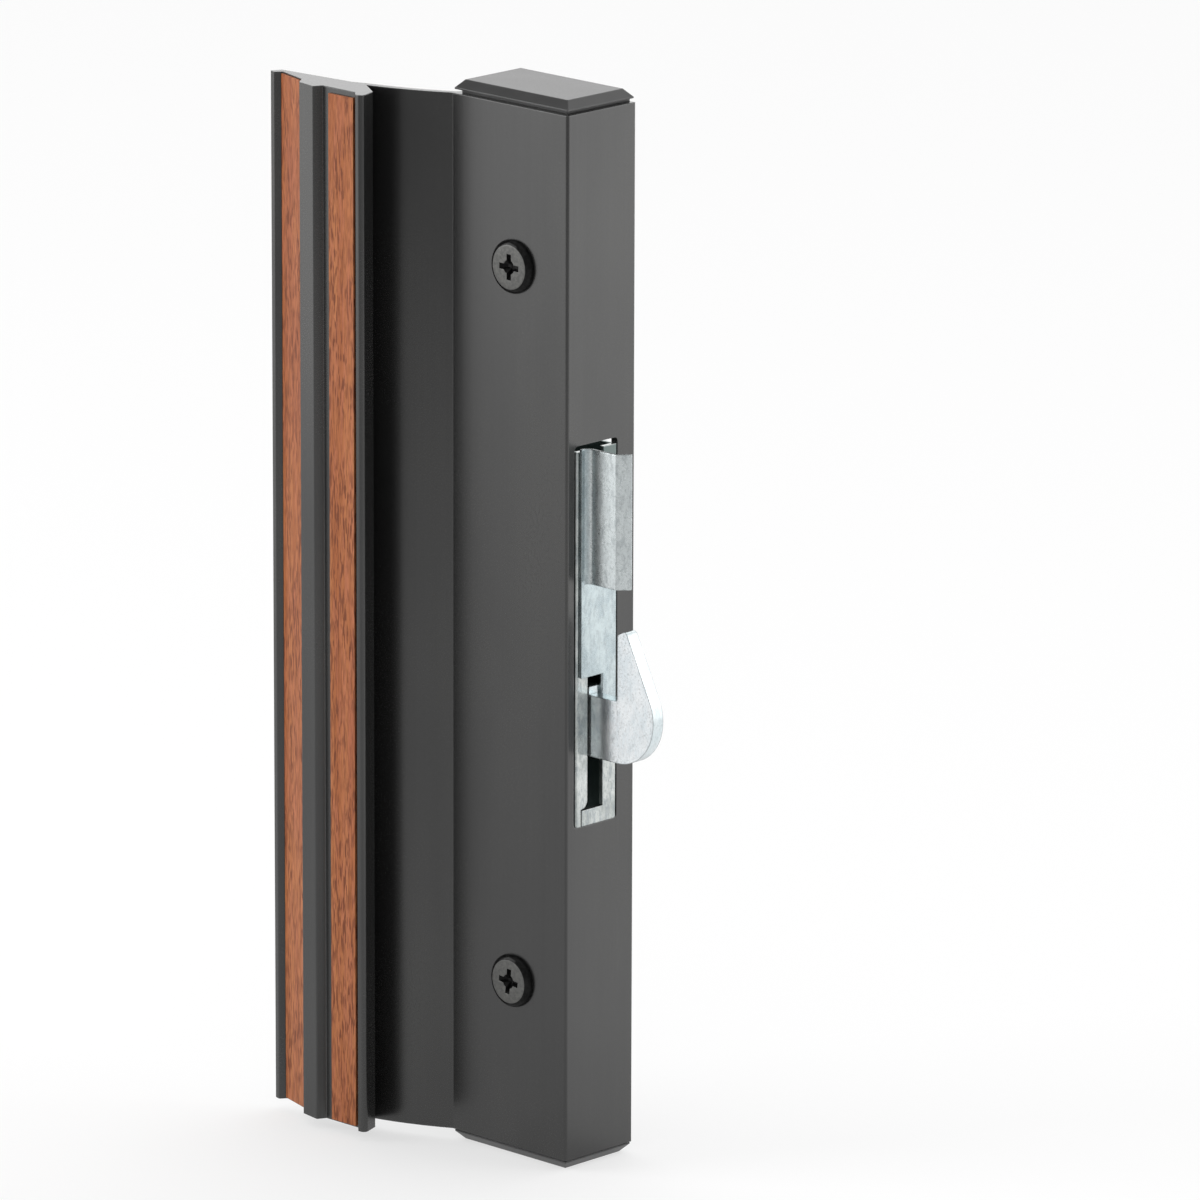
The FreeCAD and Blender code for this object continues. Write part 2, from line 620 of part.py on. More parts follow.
def make_latch_case():
    """Folded steel case: a channel with lips at its mouth, and a strap to each screw."""
    body = new_body("latch_case")
    sheet_size = size("case_sheet")
    height = size("case_top") - case_foot
    folded = new_sketch(body, "case_section", "XY_Plane", case_foot)
    closed_outline(folded, [
        (case_face, mouth_front),
        (case_face, case_front),
        (case_inner, case_front),
        (case_inner, case_back),
        (case_face, case_back),
        (case_face, mouth_back),
        (case_face - sheet_size, mouth_back),
        (case_face - sheet_size, case_back - sheet_size),
        (web_plate, case_back - sheet_size),
        (web_plate, case_front + sheet_size),
        (case_face - sheet_size, case_front + sheet_size),
        (case_face - sheet_size, mouth_front),
    ])
    pad(body, "case_folded", folded, height)
    rounded(body, "case_bends", "z", size("case_bend"), [
        (case_face, case_front), (case_face, case_back), (case_inner, case_front), (case_inner, case_back),
    ])

    corner = size("case_foot_round")
    spare = new_sketch(body, "foot_corner_outline", "YZ_Plane", case_inner - sheet_size)
    closed_outline(spare, [
        (case_back, case_foot + corner, -corner),
        (case_back - corner, case_foot),
        (case_back - corner, case_foot - sheet_size),
        (case_back + sheet_size, case_foot - sheet_size),
        (case_back + sheet_size, case_foot + corner),
    ])
    pocket(body, "foot_corner", spare, size("case_depth") + sheet_size + sheet_size)

    seam = case_front + size("foot_seam_inset")
    lip_end = case_foot + size("foot_bar") + size("foot_gap")
    cut = new_sketch(body, "lip_cut", "YZ_Plane", case_face - sheet_size * 2)
    rectangle(cut, seam - size("foot_seam"), case_foot - sheet_size, mouth_front + sheet_size, lip_end)
    pocket(body, "lip_end", cut, sheet_size * THROUGH)
    rounded(body, "lip_corner", "x", size("lip_end_round"), [(mouth_front, lip_end)])
    bar = new_sketch(body, "bar_outline", "YZ_Plane", case_face - sheet_size)
    rectangle(bar, seam, case_foot, mouth_back + sheet_size, case_foot + size("foot_bar"))
    pad(body, "foot_bar", bar, sheet_size)
    strap = size("strap_width") / 2
    end = screw_up + size("strap_over")
    for name, root, tip, step in (
        ("upper_strap", size("case_top"), end, size("strap_jog")),
        ("lower_strap", case_foot, -end, -size("strap_jog")),
    ):
        side = new_sketch(body, name + "_side", "YZ_Plane", -strap)
        closed_outline(side, [
            (case_front + sheet_size, root - step),
            (case_front, root - step),
            (case_front, root),
            (inner_front, root + step),
            (inner_front, tip),
            (inner_front + sheet_size, tip),
            (inner_front + sheet_size, root + step),
            (case_front + sheet_size, root),
        ])
        pad(body, name, side, strap * 2)
    rounded(body, "strap_ends", "y", size("strap_round"), [
        (-strap, end), (strap, end), (-strap, -end), (strap, -end),
    ])
    holes = new_sketch(body, "strap_holes", "XZ_Plane", inner_front - sheet_size)
    for place in (screw_up, -screw_up):
        circle(holes, ZERO, place, size("strap_hole") / 2)
    pocket(body, "strap_hole_cut", holes, sheet_size * THROUGH)
    hole = new_sketch(body, "case_rivet_hole", "YZ_Plane", case_inner - sheet_size)
    circle(hole, spring_middle, spring_rivet_z, size("spring_rivet") / 2)
    pocket(body, "case_rivet_cut", hole, sheet_size * THROUGH)
    return body


def make_latch_slide():
    """Folded steel slide: a plate over the case's mouth, a thumb tab and an inner tongue."""
    body = new_body("latch_slide")
    sheet_size = size("slide_sheet")
    tab_foot = size("slide_top") - size("tab_height")
    tab_front = slide_front + size("tab_root")
    bend = size("tab_bend")
    out_of_bend = slide_face + bend
    lip_turn = size("tab_lip_turn")
    lip_root = (slide_face + size("tab_reach"), tab_front)
    lip_end = (lip_root[0] + size("tab_lip") * cosine(lip_turn), tab_front + size("tab_lip") * sine(lip_turn))
    lip_over = (sheet_size * sine(lip_turn), sheet_size * cosine(lip_turn))
    inner_corner = lip_root[0] - sheet_size * sine(lip_turn / 2) / cosine(lip_turn / 2)
    section = new_sketch(body, "tab_section", "XY_Plane", tab_foot)
    closed_outline(section, [
        (slide_back, slide_front),
        (slide_face, slide_front),
        (slide_face, tab_front - bend, -bend),
        (out_of_bend, tab_front),
        lip_root,
        lip_end,
        (lip_end[0] - lip_over[0], lip_end[1] + lip_over[1]),
        (inner_corner, tab_front + sheet_size),
        (out_of_bend, tab_front + sheet_size, bend + sheet_size),
        (slide_back, tab_front - bend),
    ])
    pad(body, "thumb_tab", section, size("tab_height"))
    rounded(body, "tab_knee", "z", sheet_size, [lip_root])

    plate_back = slide_front + size("slide_width")
    plate = new_sketch(body, "plate_outline", "YZ_Plane", slide_back)
    closed_outline(plate, [
        (slide_front, tab_foot),
        (slide_front, -size("plate_foot")),
        (tongue_front, -size("plate_foot")),
        (tongue_front, -size("leg_foot")),
        (plate_back, -size("leg_foot")),
        (plate_back, tab_foot),
    ])
    pad(body, "slide_plate", plate, sheet_size)
    tongue = new_sketch(body, "tongue_outline", "XZ_Plane", tongue_front)
    rectangle(tongue, tongue_end, -size("leg_foot"), slide_face, -size("arm_shoulder"))
    pad(body, "tongue", tongue, sheet_size)
    rounded(body, "tongue_bend", "z", size("tongue_round"), [(slide_face, tongue_front)])
    holes = new_sketch(body, "tongue_holes", "XZ_Plane", tongue_front - sheet_size)
    for place in (rivet_up, rivet_low):
        circle(holes, rivet_x, place, size("rivet_size") / 2)
    pocket(body, "rivet_holes", holes, sheet_size * THROUGH)
    return body


def make_latch_hook():
    """Hook stamped from plate: belly, tapered blade, shank, and an arm with two notches."""
    body = new_body("latch_hook")
    centre = (side_face + size("hook_out"), -size("hook_low"))
    belly = size("hook_round")
    lean = size("hook_lean")
    leave = (centre[0] + belly * cosine(lean), centre[1] + belly * sine(lean))
    tip = (leave[0] - size("hook_blade") * sine(lean), leave[1] + size("hook_blade") * cosine(lean))
    inner_edge = side_face + size("hook_inner")
    shank_foot = centre[1] - belly
    shank_top = shank_foot + size("shank_height")
    arm_outer = case_face - size("arm_play")
    shoulder = -size("arm_shoulder")
    notch = size("notch_size")
    notch_low, notch_high = notch_up, notch_up + size("latch_travel")
    outline = new_sketch(body, "hook_outline", "XZ_Plane", hook_front)
    closed_outline(outline, [
        (centre[0], shank_foot, belly),
        leave,
        tip,
        (inner_edge, tip[1] - size("hook_tip_low")),
        (inner_edge, shank_top),
        (arm_outer, shank_top),
        (arm_outer, shoulder),
        (arm_outer - size("arm_step"), shoulder),
        (arm_outer - size("arm_step"), size("arm_top")),
        (arm_inner, size("arm_top")),
        (arm_inner, notch_high + notch),
        (arm_inner + notch, notch_high),
        (arm_inner, notch_high - notch),
        (arm_inner, notch_low + notch),
        (arm_inner + notch, notch_low),
        (arm_inner, notch_low - notch),
        (arm_inner, shank_foot),
    ])
    pad(body, "hook_plate", outline, size("hook_thickness"))
    rounded(body, "hook_tip", "y", size("tip_round"), [tip, (inner_edge, tip[1] - size("hook_tip_low"))])
    rounded(body, "throat", "y", size("throat_round"), [(inner_edge, shank_top)])
    holes = new_sketch(body, "hook_holes", "XZ_Plane", hook_front - size("hook_thickness"))
    for place in (rivet_up, rivet_low):
        circle(holes, rivet_x, place, size("rivet_size") / 2)
    pocket(body, "hook_rivet_holes", holes, size("hook_thickness") * THROUGH)
    return body


def make_rivet(name, start, length, shank, role, place):
    """Rivet with a domed head at each end of what it holds, turned round the X or Y axis."""
    body = new_body(name)
    head = shank * size("rivet_head") / size("rivet_size")
    dome = size("rivet_dome")
    flat = size("rivet_flat") / 2
    bulge = head * size("rivet_bulge")
    along_y = role == "Y_Axis"
    profile = new_sketch(body, name + "_profile", "XY_Plane")
    steps = [
        (start - dome, ZERO),
        (start - dome, flat, -bulge),
        (start, head / 2),
        (start, shank / 2),
        (start + length, shank / 2),
        (start + length, head / 2, -bulge),
        (start + length + dome, flat),
        (start + length + dome, ZERO),
    ]
    if along_y:
        steps = [(s[1], s[0], -s[2]) if len(s) == 3 else (s[1], s[0]) for s in steps]
    closed_outline(profile, steps)
    turned(body, name + "_turned", profile, "V_Axis" if along_y else "H_Axis")
    for axis, value in zip("xyz", place):
        body.setExpression(f"Placement.Base.{axis}", value.formula)
    return body


def make_rivets():
    """Two rivets through hook and tongue, and one that holds the spring to the case."""
    through_hook = tongue_back - hook_front
    for name, height in (("hook_rivet_upper", rivet_up), ("hook_rivet_lower", rivet_low)):
        make_rivet(name, hook_front, through_hook, size("rivet_size"), "Y_Axis", (rivet_x, ZERO, height))
    through_web = size("case_sheet") + size("spring_sheet")
    make_rivet("spring_rivet", case_inner, through_web, size("spring_rivet"), "X_Axis",
               (ZERO, spring_middle, spring_rivet_z))


def make_detent_spring():
    """Leaf spring riveted to the case, with a crest that drops into the arm's notches."""
    body = new_body("detent_spring")
    leaf = size("spring_sheet")
    crest = arm_inner - size("spring_slack") + size("notch_size")
    seat_end = size("spring_top") - size("spring_seat")
    tip = -size("spring_foot")
    nose = size("crest_half")
    side = new_sketch(body, "spring_side", "XZ_Plane", spring_middle - size("spring_width") / 2)
    base = web_plate
    shoulder = arm_inner - size("spring_shoulder")
    closed_outline(side, [
        (base, size("spring_top")),
        (base, seat_end),
        (shoulder - leaf, notch_up + nose),
        (crest - leaf, notch_up),
        (shoulder - leaf, notch_up - nose),
        (base, tip),
        (base + leaf, tip),
        (shoulder, notch_up - nose),
        (crest, notch_up),
        (shoulder, notch_up + nose),
        (base + leaf, seat_end),
        (base + leaf, size("spring_top")),
    ])
    pad(body, "leaf", side, size("spring_width"))
    hole = new_sketch(body, "spring_hole", "YZ_Plane", base - leaf)
    circle(hole, spring_middle, spring_rivet_z, size("spring_rivet") / 2)
    pocket(body, "rivet_hole", hole, leaf * THROUGH)
    return body


make_handle_extrusion()
make_wood_strips()
make_end_cap("top_end_cap", section_top, 1, size("top_cap_gap"))
make_end_cap("bottom_end_cap", section_foot, -1, size("bottom_cap_gap"))
make_mounting_screw("upper_mounting_screw", screw_up, ZERO)
make_mounting_screw("lower_mounting_screw", -screw_up, size("drive_turn"))
make_latch_case()
make_latch_slide()
make_latch_hook()
make_rivets()
make_detent_spring()
doc.recompute()

for item in doc.Objects:
    if "Invalid" in item.State or "Error" in item.State:
        raise ValueError(f"{item.Label} did not build: {item.State}")

os.makedirs("parts", exist_ok=True)
for body in doc.findObjects("PartDesign::Body"):
    shape = body.Shape
    if shape.isNull() or not shape.isValid() or len(shape.Solids) != 1:
        raise ValueError(f"{body.Label} is not one sound solid")
    shape.exportStep(f"parts/{body.Label}.step")
    box = shape.BoundBox
    print(f"{body.Label}: {shape.Volume:.1f} mm3, X {box.XMin:.2f} {box.XMax:.2f},"
          f" Y {box.YMin:.2f} {box.YMax:.2f}, Z {box.ZMin:.2f} {box.ZMax:.2f}")
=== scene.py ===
# %% [markdown]
# This notebook dresses the inside pull of a sliding patio door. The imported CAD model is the
# frame: its solids keep their places and get finishes here, and the pieces that need more
# detail than a solid gives are modelled new and ride on the same bodies.

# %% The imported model
import math
import bmesh
import bpy
from mathutils import Euler, Matrix, Vector


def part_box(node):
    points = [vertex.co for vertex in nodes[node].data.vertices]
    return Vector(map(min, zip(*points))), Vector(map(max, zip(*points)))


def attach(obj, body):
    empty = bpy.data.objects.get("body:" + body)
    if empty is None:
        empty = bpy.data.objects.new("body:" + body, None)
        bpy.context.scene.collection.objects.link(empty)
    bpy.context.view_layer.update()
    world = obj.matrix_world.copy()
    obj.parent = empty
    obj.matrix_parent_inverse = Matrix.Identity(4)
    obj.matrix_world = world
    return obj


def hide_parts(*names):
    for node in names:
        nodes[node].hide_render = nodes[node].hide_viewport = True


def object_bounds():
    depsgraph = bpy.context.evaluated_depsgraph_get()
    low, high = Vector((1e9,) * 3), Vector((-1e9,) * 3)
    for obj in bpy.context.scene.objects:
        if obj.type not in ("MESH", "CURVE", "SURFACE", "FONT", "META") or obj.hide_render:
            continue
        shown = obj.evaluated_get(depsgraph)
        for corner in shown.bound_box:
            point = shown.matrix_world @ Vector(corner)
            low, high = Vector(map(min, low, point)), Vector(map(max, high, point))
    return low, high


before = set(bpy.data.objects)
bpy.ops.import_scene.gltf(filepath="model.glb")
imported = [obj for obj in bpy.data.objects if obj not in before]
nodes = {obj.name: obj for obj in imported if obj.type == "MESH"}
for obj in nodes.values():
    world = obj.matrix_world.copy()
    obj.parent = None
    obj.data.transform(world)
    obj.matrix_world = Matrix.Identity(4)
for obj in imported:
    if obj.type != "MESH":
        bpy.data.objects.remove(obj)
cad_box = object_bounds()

# %% [markdown]
# The camera stands well back with a long lens, to the right of the handle and a little above
# it, so that the front and the latch side show together. The place comes from the handle's own
# straight edges, so nothing has to be shifted.

# %% Camera
VIEW_TURN = math.radians(43.93)
VIEW_RISE = math.radians(14.70)
VIEW_ROLL = math.radians(0.178)
VIEW_DISTANCE = 1.79908
VIEW_LENS = 315.84
SENSOR = 36.0
SEES_TO = 60.0
AIM = Vector((0.0021951, 0.0026627, 0.0015046))

lens = bpy.data.cameras.new("studio_camera")
lens.lens = VIEW_LENS
lens.sensor_width = SENSOR
lens.clip_end = SEES_TO
camera = bpy.data.objects.new("studio_camera", lens)
bpy.context.scene.collection.objects.link(camera)
turn = Euler((math.pi / 2 - VIEW_RISE, 0.0, VIEW_TURN)).to_matrix()
turn = turn @ Matrix.Rotation(VIEW_ROLL, 3, "Z")
stand = AIM + turn @ Vector((0, 0, VIEW_DISTANCE))
camera.matrix_world = Matrix.Translation(stand) @ turn.to_4x4()
bpy.context.scene.camera = camera
bpy.context.scene.view_settings.view_transform = "Standard"
print("camera at", [round(v, 3) for v in camera.matrix_world.translation])

# %% [markdown]
# Every finish below is a node tree. Written out link by link, a tree hides its own meaning, so
# one small class wraps a socket and adds a Math node for each +, - and *, and one method makes
# any other node. A finish then reads like the sentence that describes it.

# %% Shader maths
EDGE_FROM, EDGE_FULL = 0.004, 0.09  # how far a softened normal leans where an edge starts


class Value:
    """A number that varies over a surface: one output of a shader node."""

    def __init__(self, shader, socket):
        self.shader = shader
        self.socket = socket

    def maths(self, operation, *terms):
        return self.shader.node("ShaderNodeMath", {"operation": operation}, dict(enumerate(terms)))

    def __add__(self, other):
        return self.maths("ADD", self, other)

    __radd__ = __add__

    def __sub__(self, other):
        return self.maths("SUBTRACT", self, other)

    def __rsub__(self, other):
        return self.maths("SUBTRACT", other, self)

    def __mul__(self, other):
        return self.maths("MULTIPLY", self, other)

    __rmul__ = __mul__

    def between(self, low, high):
        """0 below low, 1 above high, and smooth in between."""
        settings = {"interpolation_type": "SMOOTHSTEP"}
        inputs = {"Value": self, "From Min": low, "From Max": high}
        return self.shader.node("ShaderNodeMapRange", settings, inputs, "Result")


class Shader:
    """A node tree that is written as expressions."""

    def __init__(self, tree):
        self.tree = tree
        tree.nodes.clear()

    def node(self, kind, settings=None, inputs=None, output=0):
        made = self.tree.nodes.new(kind)
        for name, value in (settings or {}).items():
            setattr(made, name, value)
        for key, value in (inputs or {}).items():
            socket = made.inputs[key]
            if isinstance(value, Value):
                self.tree.links.new(value.socket, socket)
            else:
                socket.default_value = value
        return Value(self, made.outputs[output]) if made.outputs else None

    def mix(self, factor, first, second):
        """A colour between two others."""
        inputs = {0: factor, 6: first, 7: second}
        return self.node("ShaderNodeMix", {"data_type": "RGBA"}, inputs, 2)

    def place(self):
        return self.node("ShaderNodeTexCoord", output="Object")

    def along(self, axis):
        """One of the three object coordinates, in metres."""
        return self.node("ShaderNodeSeparateXYZ", None, {"Vector": self.place()}, axis)

    def stretched(self, scale, offset=(0, 0, 0)):
        """Object coordinates in metres, multiplied along each axis."""
        inputs = {"Vector": self.place(), "Scale": scale, "Location": offset}
        return self.node("ShaderNodeMapping", None, inputs)

    def noise(self, vector, detail=2.0, roughness=0.5):
        inputs = {"Vector": vector, "Scale": 1.0, "Detail": detail, "Roughness": roughness}
        return self.node("ShaderNodeTexNoise", None, inputs, "Fac")

    def bump(self, height, depth, strength=1.0, normal=None):
        """A normal tilted by a height field; depth in metres."""
        inputs = {"Height": height, "Distance": depth, "Strength": strength}
        if normal is not None:
            inputs["Normal"] = normal
        return self.node("ShaderNodeBump", None, inputs)

    def soft_edges(self, radius):
        return self.node("ShaderNodeBevel", {"samples": 4}, {"Radius": radius})

    def true_normal(self):
        return self.node("ShaderNodeNewGeometry", output="Normal")

    def dot(self, first, second):
        """How far two directions agree: 1 where they are the same."""
        terms = {0: first, 1: second}
        return self.node("ShaderNodeVectorMath", {"operation": "DOT_PRODUCT"}, terms, "Value")

    def edge_mask(self, soft):
        """1 along edges, where the softened normal leaves the true one."""
        return (1.0 - self.dot(soft, self.true_normal())).between(EDGE_FROM, EDGE_FULL)

    def surface(self, **inputs):
        """A Principled BSDF; names are written with underscores."""
        inputs = {name.replace("_", " "): value for name, value in inputs.items()}
        return self.node("ShaderNodeBsdfPrincipled", None, inputs)

    def finish(self, shading):
        self.node("ShaderNodeOutputMaterial", None, {"Surface": shading})


def new_finish(name):
    material = bpy.data.materials.new(name)
    material.use_nodes = True
    return material, Shader(material.node_tree)


def colour(red, green, blue):
    """A colour written as it shows on a screen, 0 to 255, as the linear one that nodes take."""
    def linear(level):
        level /= 255
        return level / 12.92 if level <= 0.04045 else ((level + 0.055) / 1.055) ** 2.4
    return (linear(red), linear(green), linear(blue), 1.0)


# %% [markdown]
# The long section is extruded aluminium, etched matt and anodised black. The dye sits in a
# clear oxide over metal, so it reflects a little more than paint does and stays satin. The die
# leaves faint lines along the length and the etch leaves a fine even grain. The edges, inner
# creases too, are lighter: partly wear from handling, partly a painted highlight. Noise scales
# are per metre: a small number along Z draws a line out.

# %% Black anodised aluminium
def make_anodised():
    material, s = new_finish("black_anodised_aluminium")
    die_lines = s.noise(s.stretched((5200, 5200, 9)), detail=2.0)
    etch = s.noise(s.stretched((8500, 8500, 8500)), detail=1.0)
    clouds = s.noise(s.stretched((42, 42, 16)), detail=3.0)
    soft = s.soft_edges(radius=0.00028)
    edges = s.edge_mask(soft)
    dye = s.mix(clouds.between(0.3, 0.7), colour(74, 74, 74), colour(82, 82, 81))
    dye = s.mix((die_lines - 0.5) * 0.5 + 0.3, dye, colour(90, 90, 90))
    # Partly wear, partly a painted highlight: edges and inner creases are mixed towards light
    # grey.
    dye = s.mix(edges * 0.35, dye, colour(124, 124, 124))
    roughness = 0.25 + (etch - 0.5) * 0.12 + (clouds - 0.5) * 0.08
    grain = die_lines * 0.6 + etch * 0.4
    s.finish(s.surface(
        Base_Color=dye, Metallic=0.85, Roughness=roughness,
        Normal=s.bump(grain, depth=0.000006, strength=0.5, normal=soft)))
    return material


# %% [markdown]
# The two strips are a printed wood film over thin plastic. Its print is orange-brown, with slow
# bands, rose streaks and duller patches, and with thin ticks and dark pores that all run along
# the handle. Noise stretched along Z gives each, and a slower noise says where the pores crowd.

# %% Wood film
def make_wood():
    material, s = new_finish("wood_grain_film")
    bands = s.noise(s.stretched((620, 620, 14), (1.7, 4.0, 0.3)), detail=3.0)
    streaks = s.noise(s.stretched((1900, 1900, 110), (0.6, 1.4, 2.3)), detail=2.0)
    patches = s.noise(s.stretched((130, 130, 34), (0.4, 2.2, 5.0)), detail=2.0)
    crowd = s.noise(s.stretched((420, 420, 75), (2.5, 0.2, 1.1)), detail=2.0)
    pores = s.noise(s.stretched((2900, 2900, 360)), detail=2.0, roughness=0.5)
    ticks = s.noise(s.stretched((3400, 3400, 330), (3.1, 0.7, 1.9)), detail=2.0, roughness=0.55)
    film = s.mix(bands.between(0.32, 0.68), colour(172, 100, 56), colour(190, 120, 74))
    film = s.mix(streaks.between(0.42, 0.66) * 0.6, film, colour(188, 114, 82))
    film = s.mix(patches.between(0.45, 0.75) * 0.5, film, colour(166, 92, 62))
    film = s.mix(ticks.between(0.44, 0.64) * 0.45, film, colour(126, 66, 36))
    crowded = crowd.between(0.34, 0.58) * 0.7 + 0.25
    film = s.mix(pores.between(0.48, 0.6) * crowded, film, colour(118, 62, 36))
    relief = 1.0 - pores.between(0.5, 0.7)
    s.finish(s.surface(
        Base_Color=film, Roughness=0.45 + (pores - 0.5) * 0.3, Specular_IOR_Level=0.25,
        Normal=s.bump(relief, depth=0.00002, strength=0.4)))
    return material


# %% [markdown]
# The end caps are black nylon, moulded in a spark-eroded tool. The tool's fine random pits make
# them a little duller than the metal, and their edges are lighter: partly wear, partly a painted
# highlight.

# %% Moulded nylon
def make_nylon():
    material, s = new_finish("black_moulded_nylon")
    pits = s.noise(s.stretched((5200, 5200, 5200)), detail=2.0)
    clouds = s.noise(s.stretched((90, 90, 90)), detail=2.0)
    soft = s.soft_edges(radius=0.0003)
    edges = s.edge_mask(soft)
    black = s.mix(clouds.between(0.3, 0.7), colour(34, 34, 34), colour(46, 46, 46))
    # Partly wear, partly a painted highlight: edges and inner creases are mixed towards grey.
    black = s.mix(edges * 0.3, black, colour(95, 95, 95))
    s.finish(s.surface(
        Base_Color=black, Roughness=0.34 + (pits - 0.5) * 0.2, Specular_IOR_Level=0.6,
        Normal=s.bump(pits, depth=0.00001, strength=0.35, normal=soft)))
    return material


# %% [markdown]
# The screws are steel, blackened and lacquered. The lacquer is glossy on the rim and in the
# recess, and rubbed to a lighter satin on the flat of the head, where boxes and drivers touch
# it. The flat is the only face that far out, so its place along Y finds it.

# %% Blackened screws
HEAD_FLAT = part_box("upper_mounting_screw")[0][1]
FLAT_DEPTH = 0.00002


def make_screw_black():
    material, s = new_finish("blackened_steel")
    rub = s.noise(s.stretched((1600, 1600, 1600)), detail=3.0)
    fine = s.noise(s.stretched((6500, 6500, 6500)), detail=2.0)
    flat = 1.0 - s.along("Y").between(HEAD_FLAT + FLAT_DEPTH, HEAD_FLAT + 2 * FLAT_DEPTH)
    worn = s.mix(rub.between(0.35, 0.7), colour(92, 92, 91), colour(108, 108, 106))
    worn = s.mix(fine.between(0.45, 0.7) * 0.4, worn, colour(124, 124, 121))
    black = s.mix(rub.between(0.35, 0.7), colour(18, 18, 18), colour(30, 30, 30))
    scuffs = rub * 0.5 + fine * 0.5
    soft = s.soft_edges(radius=0.0001)
    s.finish(s.surface(
        Base_Color=s.mix(flat, black, worn), Metallic=flat * 0.8,
        Roughness=0.14 + flat * 0.26 + (rub - 0.5) * 0.1, Specular_IOR_Level=0.1,
        Normal=s.bump(scuffs, depth=0.000006, strength=0.4, normal=soft)))
    return material


# %% [markdown]
# The latch is cold-rolled steel, zinc plated and passivated clear. Plating is nearly a mirror,
# but cloudy and a little blue-green, and fine pits break what it mirrors. Shade is painted in
# too: the case's inner faces, the crack between the case and the window, and the lip under the
# tab's shadow are painted dark blue-grey and made rougher. Places along the three axes say what
# is inside.

# %% Inside the case
CASE_LOW, CASE_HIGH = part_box("latch_case")
SLIDE_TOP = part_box("latch_slide")[1][2]
CASE_SHEET = 0.0009
CASE_FRONT = -0.01393
CASE_TOP = 0.0321
TAB_SHADE = 0.0288
TAB_BACK = -0.0092
SOFT = 0.0001
SHADE_SHARE = 0.8
FOOT_FADE = 0.001


def painted_case_shade(s):
    """Painted shade: 1 on the case's inner faces, in the crack at its front and behind the tab's
    top, where the tab casts its shadow.
    """
    x, y, z = (s.along(axis) for axis in "XYZ")
    half = CASE_SHEET / 2
    deep = x.between(CASE_LOW[0] + half - SOFT, CASE_LOW[0] + half + SOFT)
    sunk = 1.0 - x.between(CASE_HIGH[0] - CASE_SHEET, CASE_HIGH[0] - CASE_SHEET + 2 * SOFT)
    behind_front = y.between(CASE_FRONT + half - SOFT, CASE_FRONT + half + SOFT)
    before_back = 1.0 - y.between(CASE_HIGH[1] - half - SOFT, CASE_HIGH[1] - half + SOFT)
    outer_back = 1.0 - y.between(CASE_HIGH[1] - 2 * SOFT, CASE_HIGH[1] - SOFT)
    within = 1.0 - z.between(SLIDE_TOP, SLIDE_TOP + SOFT)
    within = within * z.between(-SLIDE_TOP - FOOT_FADE, -SLIDE_TOP)
    short_of_edge = 1.0 - x.between(CASE_HIGH[0] - half, CASE_HIGH[0] - half + 3 * SOFT)
    crack = (1.0 - behind_front) * short_of_edge
    inside = deep * sunk * behind_front * before_back
    below_top = 1.0 - z.between(CASE_TOP - SOFT, CASE_TOP - SOFT / 2)
    behind_tab = z.between(TAB_SHADE, TAB_SHADE + SOFT) * below_top
    behind_tab = behind_tab * y.between(TAB_BACK, TAB_BACK + SOFT) * outer_back
    shaded_inside = (inside + crack * deep).between(0.0, 1.0)
    return (shaded_inside + behind_tab * SHADE_SHARE).between(0.0, 1.0) * within


# %% [markdown]
# The same plating looks different from piece to piece. The case is dull and blotched. The
# slide is painted lighter where its tab stands proud of the case, as painted light for the part
# out of the case's shade. The hook's face is tumbled white while its sheared sides stay greyer,
# with a thin dark outline where the two meet.

# %% Zinc plate
LIT_FROM = CASE_HIGH[0] + 0.0008
LIT_FADE = 0.0006


def make_zinc(name, dark, light, roughness, lines, waves, blotched=0.3, lit_tone=None,
              sheared=0.0):
    """Lines is the rolled share of the relief, waves how far dents tilt what it mirrors."""
    material, s = new_finish(name)
    rolled = s.noise(s.stretched((2600, 2600, 60)), detail=3.0)
    clouds = s.noise(s.stretched((420, 420, 240)), detail=4.0, roughness=0.65)
    pits = s.noise(s.stretched((2600, 2600, 2600)), detail=3.0, roughness=0.65)
    dents = s.noise(s.stretched((900, 900, 500), (0.3, 1.1, 2.6)), detail=2.0)
    soft = s.soft_edges(radius=0.00026)
    blotches = s.noise(s.stretched((1200, 1200, 430), (1.3, 0.4, 3.2)), detail=3.0, roughness=0.7)
    case_shade = painted_case_shade(s)
    zinc = s.mix(clouds.between(0.34, 0.66), dark, light)
    if lit_tone:
        # Painted light: the slide is lighter where it stands proud of the case, out of the case's
        # shade.
        proud = s.along("X").between(LIT_FROM, LIT_FROM + LIT_FADE)
        zinc = s.mix(proud, zinc, lit_tone)
    zinc = s.mix(blotches.between(0.46, 0.66) * blotched, zinc, colour(138, 146, 150))
    if sheared:
        facing = s.node("ShaderNodeSeparateXYZ", None, {"Vector": s.true_normal()}, "Y")
        side = 1.0 - (facing * facing).between(0.3, 0.7)
        outline = s.edge_mask(soft)
        zinc = s.mix(side * sheared, zinc, colour(152, 165, 167))
        zinc = s.mix(outline * 0.8, zinc, colour(104, 108, 110))
    zinc = s.mix(pits.between(0.5, 0.72) * 0.4, zinc, colour(142, 147, 147))
    # Painted shade: the case's inside, its front crack and the lip in the tab's shadow are mixed
    # to dark blue-grey.
    zinc = s.mix(case_shade, zinc, colour(98, 110, 108))
    dull = roughness + (clouds - 0.5) * 0.14 + (pits - 0.5) * 0.12 + case_shade * 0.3
    relief = rolled * lines + pits * (1.0 - lines)
    wavy = s.bump(dents, depth=0.00004, strength=waves, normal=soft)
    s.finish(s.surface(
        Base_Color=zinc, Metallic=0.92, Roughness=dull,
        Normal=s.bump(relief, depth=0.00001, strength=0.6, normal=wavy)))
    return material


